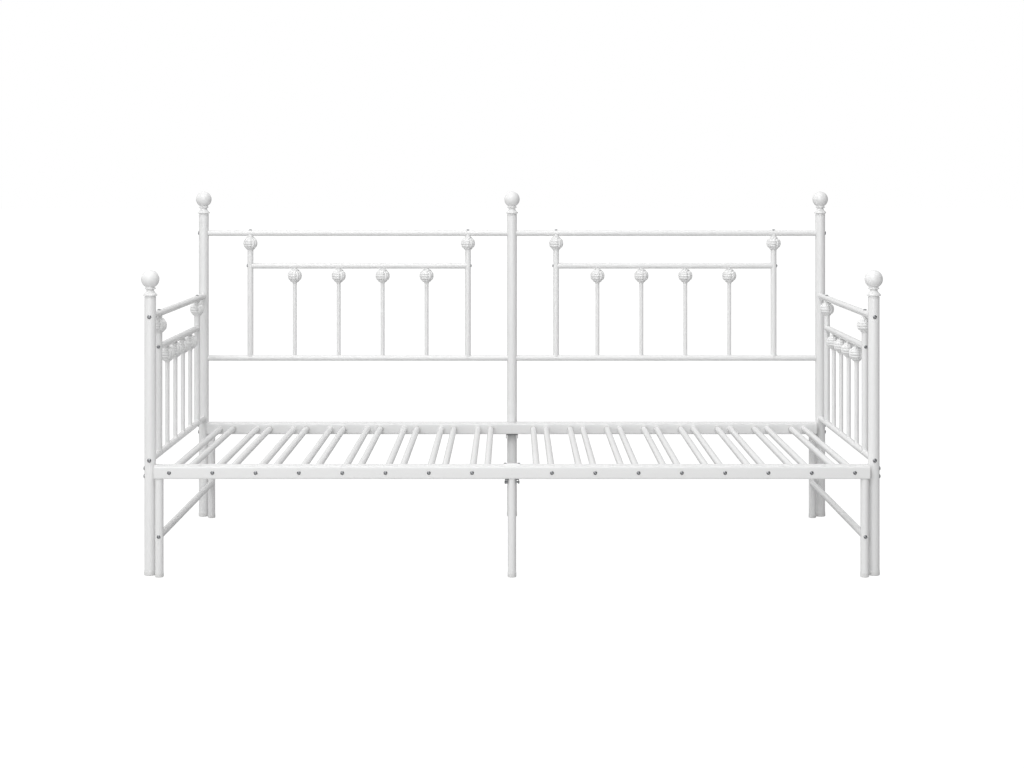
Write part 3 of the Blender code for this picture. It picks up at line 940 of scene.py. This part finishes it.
for side, sign in SIDES:
    start = min(0.0, sign * END_X)
    post_end = (POST_RADIUS, 0, 0.0)
    rail = rail_pipe(END_X, post_end)
    rail = place(rail, "x", (start, BACK_Y, BACK_TOP_Z))
    piece(f"rail_back_top_{side}", [rail], FIXED, COAT, [f"back_top_rail_{side}"])
    bars = BACK_SPINDLE_FIRST + BACK_SPINDLE_PITCH * np.arange(SPINDLES)
    bar_x = np.sort(sign * bars) - start
    upright_x = np.sort(sign * np.array(BACK_UPRIGHTS)) - start
    node = f"back_spindle_panel_{side}"
    levels = (BACK_LOW_Z, BACK_MID_Z)
    panel(f"panel_back_{side}", "x", start, END_X, levels, bar_x, upright_x, BACK_Y, node)
    for label in ("inner", "outer"):
        upright(f"back_upright_{side}_{label}", 1, BACK_LOW_Z, BACK_TOP_Z)
    inner, outer = (sign * distance for distance in BACK_UPRIGHTS)
    tops = [(x, BACK_Y, BACK_TOP_Z + RAIL_RADIUS) for x in (inner, outer)]
    screws(f"back_top_{side}", tops, "z", FIXED, SMALL_HEAD)
    toward, away = ("x", "-x") if sign < 0.0 else ("-x", "x")
    inner_face = [(inner - sign * RAIL_RADIUS, BACK_Y, BACK_MID_Z)]
    outer_face = [(outer + sign * RAIL_RADIUS, BACK_Y, BACK_MID_Z)]
    screws(f"back_inner_upright_{side}", inner_face, toward, FIXED, SMALL_HEAD)
    screws(f"back_outer_upright_{side}", outer_face, away, FIXED, SMALL_HEAD)
    post_face = [(sign * (END_X + POST_RADIUS), BACK_Y, BACK_TOP_Z)]
    screws(f"back_post_{side}", post_face, away, FIXED, LARGE_HEAD)
print("back: 2 top rails, 2 panels, 4 uprights,", len(SCREW_PLACES), "screws")


# %% [markdown]
# ## The arms
#
# The arms repeat the back's scheme across the bed. The distance between the posts is
# divided into seven, with a thick upright after the first and before the last, and four
# thin bars between them. They are the nearest pieces to the eye, and are seen end on.

# %% Assemble both arms
ARM_TOP_Z = middle("arm_top_rail_left")[2]
ARM_LOW_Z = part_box("arm_spindle_panel_left")[0].z + RAIL_RADIUS
ARM_MID_Z = top_of("arm_spindle_panel_left") - RAIL_RADIUS
ARM_LENGTH = BACK_Y - FRONT_Y
DECK_SCREW_RISES = (0.0070, -0.0150)
arm_step = ARM_LENGTH / ARM_STEPS

for side, sign in SIDES:
    x = sign * END_X
    post_end = (POST_RADIUS, 1, 0.0)
    rail = rail_pipe(ARM_LENGTH, post_end)
    rail = place(rail, "y", (x, FRONT_Y, ARM_TOP_Z))
    piece(f"rail_arm_top_{side}", [rail], FIXED, COAT, [f"arm_top_rail_{side}"])
    bar_y = arm_step * np.arange(2, ARM_STEPS - 1)
    upright_y = arm_step * np.array((1, ARM_STEPS - 1))
    node = f"arm_spindle_panel_{side}"
    levels = (ARM_LOW_Z, ARM_MID_Z)
    panel(f"panel_arm_{side}", "y", FRONT_Y, ARM_LENGTH, levels, bar_y, upright_y, x, node)
    for label in ("front", "back"):
        upright(f"arm_upright_{side}_{label}", 0, ARM_LOW_Z, ARM_TOP_Z)
    ends = FRONT_Y + upright_y
    tops = [(x, y, ARM_TOP_Z + RAIL_RADIUS) for y in ends]
    screws(f"arm_top_{side}", tops, "z", FIXED, SMALL_HEAD)
    front_face = [(x, ends[0] - RAIL_RADIUS, ARM_MID_Z)]
    back_face = [(x, ends[1] + RAIL_RADIUS, ARM_MID_Z)]
    screws(f"arm_upright_front_{side}", front_face, "-y", FIXED, SMALL_HEAD)
    screws(f"arm_upright_back_{side}", back_face, "y", FIXED, SMALL_HEAD)
    for label, post_y, turn in (("front", FRONT_Y, -1.0), ("back", BACK_Y, 1.0)):
        faces = [(x, post_y + turn * POST_RADIUS, z) for z in (ARM_TOP_Z, ARM_LOW_Z)]
        facing = "-y" if turn < 0.0 else "y"
        screws(f"arm_post_{label}_{side}", faces, facing, FIXED, POST_HEAD)
        outer = sign * (END_X + POST_RADIUS)
        rails = [(outer, post_y, DECK_Z + rise) for rise in DECK_SCREW_RISES]
        facing = "-x" if sign < 0.0 else "x"
        screws(f"deck_post_{label}_{side}", rails, facing, FIXED, POST_HEAD)
print("arms: 2 top rails, 2 panels, 4 uprights,", len(SCREW_PLACES), "screws so far")


# %% [markdown]
# ## The fixed deck
#
# Each half of the deck is a comb: a front and a back rail with eight slats welded
# between them. The slats of the other comb slide through the front rail, so that rail
# needs real holes. The holes are cut by subtracting round rods, and a thin plastic ring
# round each one keeps paint from rubbing on paint.

# %% Cut holes through a rail
SLAT_CLEARANCE = 0.0006
RAIL_WALL = 0.0015
RAIL_CORNER = 0.0030


def drilled(name, rail, hole_x, y, body, nodes=()):
    """A rail less a row of rods. The cut is worked out once and kept as the mesh."""
    item = piece(name, [rail], body, COAT, nodes)
    reach = 2.0 * RAIL_DEPTH
    outline = (
        (0.0, 0.0), (RAIL_RADIUS + SLAT_CLEARANCE, 0.0),
        (RAIL_RADIUS + SLAT_CLEARANCE, reach), (0.0, reach),
    )
    rod = place(spin(outline, 36), "y")
    rods = repeat(rod, [(x, y - RAIL_DEPTH, DECK_Z) for x in hole_x])
    cutter = show("drill", mesh_of("drill", [rods]))
    cut = item.modifiers.new("holes", "BOOLEAN")
    cut.operation = "DIFFERENCE"
    cut.solver = "EXACT"
    cut.object = cutter
    bpy.context.view_layer.update()
    view = item.evaluated_get(bpy.context.evaluated_depsgraph_get())
    mesh = bpy.data.meshes.new_from_object(view)
    item.modifiers.clear()
    item.data = mesh
    soften(mesh, CREASE)
    bpy.data.objects.remove(cutter, do_unlink=True)


def guide_ring():
    """A flat plastic ring round a slat: inner and outer wall with broken edges."""
    inner, outer, thick = RAIL_RADIUS + 0.0002, RAIL_RADIUS + 0.0030, 0.0014
    outline = (
        (inner, 0.0), (outer, 0.0), (outer, thick - 0.0005), (outer - 0.0005, thick),
        (inner + 0.0004, thick), (inner, thick - 0.0004),
    )
    return spin(outline, 36, loop=True)


# %% Build the fixed comb
def box_rail(x_from, x_to, y, low=None, high=None):
    """A deck rail along X between two places, at the deck's height."""
    start = min(x_from, x_to)
    length = abs(x_to - x_from)
    rail = box_tube(length, RAIL_DEPTH, RAIL_HEIGHT, RAIL_WALL, RAIL_CORNER, low, high)
    return place(rail, "x", (start, y, DECK_Z))


def slat(y_from, y_to):
    """A round slat along Y, standing at the origin, as long as the gap between rails."""
    return place(pipe(y_to - y_from, RAIL_RADIUS, THIN_WALL, 32), "y")


def welded_slats(slat_x, y_from, y_to):
    """Round slats between two rail faces, with a weld at each end."""
    starts = [(x, y_from, DECK_Z) for x in slat_x]
    ends = [(x, y_to, DECK_Z) for x in slat_x]
    bead = weld(RAIL_RADIUS, THIN_BEAD, None, 32)
    beads = [repeat(place(bead, "y"), starts), repeat(place(bead, "-y"), ends)]
    return [repeat(slat(y_from, y_to), starts), *beads]


half_depth = RAIL_DEPTH / 2.0
moving_x = MOVING_SLAT_FIRST + SLAT_PITCH * np.arange(SLATS)
fixed_x = FIXED_SLAT_FIRST + SLAT_PITCH * np.arange(SLATS)
for side, sign in SIDES:
    post_end = (POST_RADIUS, 0, DECK_FRONT_Y - FRONT_Y)
    ends = (None, post_end) if sign > 0.0 else (post_end, None)
    front = box_rail(sign * JOINT, sign * END_X, DECK_FRONT_Y, *ends)
    node = f"deck_half_{side}"
    drilled(f"rail_deck_front_{side}", front, sign * moving_x, DECK_FRONT_Y, FIXED, [node])
    post_end = (POST_RADIUS, 0, 0.0)
    back = box_rail(0.0, sign * END_X, BACK_Y, post_end, post_end)
    slats = welded_slats(sign * fixed_x, DECK_FRONT_Y + half_depth, BACK_Y - half_depth)
    piece(f"comb_deck_{side}", [back, *slats], FIXED, COAT)
    rings = [(sign * x, DECK_FRONT_Y + half_depth, DECK_Z) for x in moving_x]
    piece(f"guides_deck_{side}", [repeat(place(guide_ring(), "y"), rings)], FIXED, PLASTIC)
print("fixed deck: 4 rails,", 2 * SLATS, "slats")


# %% [markdown]
# ## The sleeve in the middle
#
# The two front rails of the deck meet in the middle, inside a short sleeve. Small
# screws at its ends pin it to both. The sleeve is the same rounded ring, a size larger.

# %% Slip the sleeve over the joint
SLEEVE_WALL = 0.0019
SLEEVE_CORNER = 0.0052
SLEEVE_SCREW_X = 0.0195

sleeve_size = extent("deck_joint_sleeve")
sleeve = box_tube(*sleeve_size, SLEEVE_WALL, SLEEVE_CORNER)
sleeve = place(sleeve, "x", (-sleeve_size[0] / 2.0, DECK_FRONT_Y, DECK_Z))
piece("sleeve_deck_joint", [sleeve], FIXED, COAT, ["deck_joint_sleeve"])
sleeve_top = DECK_Z + sleeve_size[2] / 2.0
pins = [(x, DECK_FRONT_Y, sleeve_top) for x in (-SLEEVE_SCREW_X, SLEEVE_SCREW_X)]
screws("deck_sleeve", pins, "z", FIXED, 0.0040, 0.0028, 0.0005)
print("sleeve:", [round(1000.0 * v, 1) for v in sleeve_size], "mm")


# %% [markdown]
# ## The pull-out frame
#
# The second comb is a frame of its own on legs. Its rails end in plastic plugs, its
# slats run back through the fixed front rail, and its rear rail has holes for the fixed
# slats. When the bed is pulled out, all of this moves together.

# %% Build the moving rails, plugs and slats
def end_plug():
    """A cap with a softly domed face: rings of the rail's outline, smaller and higher."""
    rows = []
    for inset, level in ((0.0002, 0.0), (0.0002, 0.0012), (0.0009, 0.0020), (0.0030, 0.0025)):
        ring = rounded_ring(RAIL_DEPTH - 2.0 * inset, RAIL_HEIGHT - 2.0 * inset, RAIL_CORNER)
        rows.append(np.column_stack([ring, np.full(len(ring), level)]))
    first = np.zeros_like(rows[0])
    last = first + np.array((0.0, 0.0, 0.0028))
    return net(np.stack([first, *rows, last]))


FLAT_HEAD = {"radius": 0.0054, "rise": 0.0028, "sink": 0.0003}
RAIL_END = max(abs(corner.x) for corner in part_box("pullout_front_rail_right"))
face = PULL_FRONT_Y - half_depth
moving_slat = slat(PULL_FRONT_Y + half_depth, PULL_REAR_Y - half_depth)
for side, sign in SIDES:
    front = box_rail(sign * JOINT, sign * RAIL_END, PULL_FRONT_Y)
    node = f"pullout_front_rail_{side}"
    piece(f"rail_pull_front_{side}", [front], MOVING, COAT, [node])
    rear = box_rail(sign * JOINT, sign * RAIL_END, PULL_REAR_Y)
    node = f"pullout_rear_rail_{side}"
    drilled(f"rail_pull_rear_{side}", rear, sign * fixed_x, PULL_REAR_Y, MOVING, [node])
    axis = "x" if sign > 0.0 else "-x"
    ends = [(sign * RAIL_END, y, DECK_Z) for y in (PULL_FRONT_Y, PULL_REAR_Y)]
    piece(f"plugs_pull_{side}", [repeat(place(end_plug(), axis), ends)], MOVING, PLASTIC)
    rings = [(sign * x, PULL_REAR_Y - half_depth, DECK_Z) for x in fixed_x]
    piece(f"guides_pull_{side}", [repeat(place(guide_ring(), "-y"), rings)], MOVING, PLASTIC)
    for index, x in enumerate(moving_x):
        node = f"pullout_slat_{side}_{index + 1}"
        bar = repeat(moving_slat, [(sign * x, PULL_FRONT_Y + half_depth, DECK_Z)])
        piece(f"bar_{node}", [bar], MOVING, COAT, [node])
    heads = [(sign * x, face, DECK_Z) for x in moving_x]
    screws(f"pull_front_{side}", heads, "-y", MOVING, **FLAT_HEAD)
    heads = [(sign * x, PULL_REAR_Y + half_depth, DECK_Z) for x in moving_x]
    screws(f"pull_rear_{side}", heads, "y", MOVING, **FLAT_HEAD)
print("pull-out frame: 4 rails,", 2 * SLATS, "slats,", len(SCREW_PLACES), "screws so far")


# %% Stand it on legs
STRETCHER_Z = middle("pullout_stretcher_left")[2]
STRETCHER_HEAD = 0.0052
for side, sign in SIDES:
    leg_x = middle(f"pullout_leg_front_{side}")[0]
    for label, leg_y, turn in (("front", PULL_FRONT_Y, -1.0), ("rear", PULL_REAR_Y, 1.0)):
        node = f"pullout_leg_{label}_{side}"
        rail_low = (leg_x, leg_y, DECK_Z - RAIL_HEIGHT / 2.0)
        bead = place(weld(LEG_RADIUS, BEAD), "-z", rail_low)
        standing_tube(node, LEG_RADIUS, THIN_WALL, MOVING, [bead])
        head = [(leg_x, leg_y + turn * LEG_RADIUS, STRETCHER_Z)]
        facing = "-y" if turn < 0.0 else "y"
        screws(f"stretcher_{label}_{side}", head, facing, MOVING, STRETCHER_HEAD)
    leg_end = (LEG_RADIUS, 1, 0.0)
    bar = rail_pipe(PULL_REAR_Y - PULL_FRONT_Y, leg_end)
    bar = place(bar, "y", (leg_x, PULL_FRONT_Y, STRETCHER_Z))
    piece(f"rail_stretcher_{side}", [bar], MOVING, COAT, [f"pullout_stretcher_{side}"])
to_rail = DECK_Z - RAIL_HEIGHT / 2.0 - top_of("pullout_center_leg")
standing_tube("pullout_center_leg", LEG_RADIUS, THIN_WALL, MOVING, rise=to_rail)
print("legs: 5, stretchers: 2")


# %% [markdown]
# ## The forks
#
# In the middle, a bent plate hangs under each pull-out rail, and the front one holds a
# leg between its cheeks. A bent plate is a thin rectangle carried along a bent line: down
# one cheek, round a small bend, across, and down the other. Its depth shrinks over the
# last millimetres, so that the cheeks end in rounded tips.

# %% Bend the forks and pin the leg
FORK_PLATE = 0.0020
FORK_BEND = 0.0030
FORK_TIP = 0.0050
NO_WAIST = 1.0
WAIST_STEP = 0.0004
PIN_DROP = 0.0095
PIN_RADIUS = 0.0028
SPACER_RADIUS = 0.0046
SPACER_BORE = 0.0029


def bent_plate(width, depth, drop, waist):
    """Profile (across the plate, along Y) carried along a U-shaped line.

    The line runs at half a plate's thickness inside the outline. At each of its points
    the profile stands square to it, and near the tips half the depth is
    h − c + square root of c² − (c − s)², s being the distance to the tip. Over the leg,
    half the depth is no more than waist, so that the tube can reach the rail.
    """
    half = width / 2.0 - FORK_PLATE / 2.0
    top = -FORK_PLATE / 2.0
    turn = np.linspace(0.0, math.pi / 2.0, 7)
    bend_x = -half + FORK_BEND * (1.0 - np.cos(turn))
    bend_z = top - FORK_BEND * (1.0 - np.sin(turn))
    left_bend = np.stack([bend_x, bend_z], axis=-1)
    straight = np.linspace(-drop, top - FORK_BEND - 0.0005, 14)
    left = np.stack([np.full(14, -half), straight], axis=-1)
    over_leg = np.array(((-LEG_RADIUS - WAIST_STEP, top), (WAIST_STEP - LEG_RADIUS, top)))
    half_line = np.concatenate([left, left_bend, over_leg])
    line = np.concatenate([half_line, (half_line * (-1.0, 1.0))[::-1]])
    along = np.gradient(line, axis=0)
    along /= np.linalg.norm(along, axis=1)[:, None]
    normal = np.stack([-along[:, 1], along[:, 0]], axis=-1)
    tip = line[:, 1] + drop
    shrink = FORK_TIP - saddle(FORK_TIP, np.clip(FORK_TIP - tip, 0.0, None))
    half_depths = depth / 2.0 - shrink
    above = (np.abs(line[:, 0]) < LEG_RADIUS) & (line[:, 1] > 2.0 * top)
    half_depths = np.where(above, np.minimum(half_depths, waist), half_depths)
    ring = rounded_ring(2.0, 2.0, 0.25, 3, 2)
    offset = ring[None, :, 0] * FORK_PLATE / 2.0
    y = ring[None, :, 1] * half_depths[:, None]
    x = line[:, :1] + normal[:, :1] * offset
    z = line[:, 1:] + normal[:, 1:] * offset
    points = np.stack([x, -y, z], axis=-1)
    around = points.shape[1]
    ends = (points[:1], points[-1:])
    caps = [end.mean(axis=1, keepdims=True).repeat(around, axis=1) for end in ends]
    return net(np.concatenate([caps[0], points, caps[1]]))


def cross_pin(width, radius):
    """A pin along Z, from 0 to width, with a low round head beyond each end."""
    head, cap = 1.5 * radius, 0.0012
    outline = (
        (0.0, -cap), (0.8 * head, -cap), (head, -0.4 * cap), (head, 0.0),
        (radius, 0.0), (radius, width), (head, width), (head, width + 0.4 * cap),
        (0.8 * head, width + cap), (0.0, width + cap),
    )
    return spin(outline, 24)


def spacer(outer, bore, length):
    """A plain ring that keeps the leg in the middle of the fork."""
    return spin(((bore, 0.0), (outer, 0.0), (outer, length), (bore, length)), 28, loop=True)


FORKS = (("front", PULL_FRONT_Y, 0.5 * LEG_RADIUS), ("rear", PULL_REAR_Y, NO_WAIST))
for label, rail_y, waist in FORKS:
    node = f"pullout_{label}_fork"
    plate = bent_plate(*extent(node), waist)
    plate = place(plate, "z", (0.0, rail_y, top_of(node)))
    # The plates take the darker zinc copy. Its extra darkness is painted shade from the rails
    # above.
    piece(f"plate_{node}", [plate], MOVING, ZINC_WITH_PAINTED_SHADE, [node])

fork_size = extent("pullout_front_fork")
pin_z = top_of("pullout_front_fork") - PIN_DROP
half = fork_size[0] / 2.0
inner = half - FORK_PLATE
gap = inner - LEG_RADIUS
pin = place(cross_pin(fork_size[0], PIN_RADIUS), "x", (-half, PULL_FRONT_Y, pin_z))
ring = spacer(SPACER_RADIUS, SPACER_BORE, gap - 2.0 * FIT)
ring = place(ring, "x", (-inner + FIT, PULL_FRONT_Y, pin_z))
piece("pin_pullout_center_leg", [pin, ring], MOVING, ZINC)
print("forks: 2, with one pin for the leg")


# %% [markdown]
# ## What stays from the CAD
#
# Two joiners are hidden inside the pull-out rails. Their CAD shape is right, so they
# stay, and only take the zinc finish.

# %% Finish the CAD parts that stay
for label in ("front", "rear"):
    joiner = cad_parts[f"pullout_{label}_joiner"]
    joiner.data.materials.clear()
    joiner.data.materials.append(ZINC)
print("screws in all:", len(SCREW_PLACES))
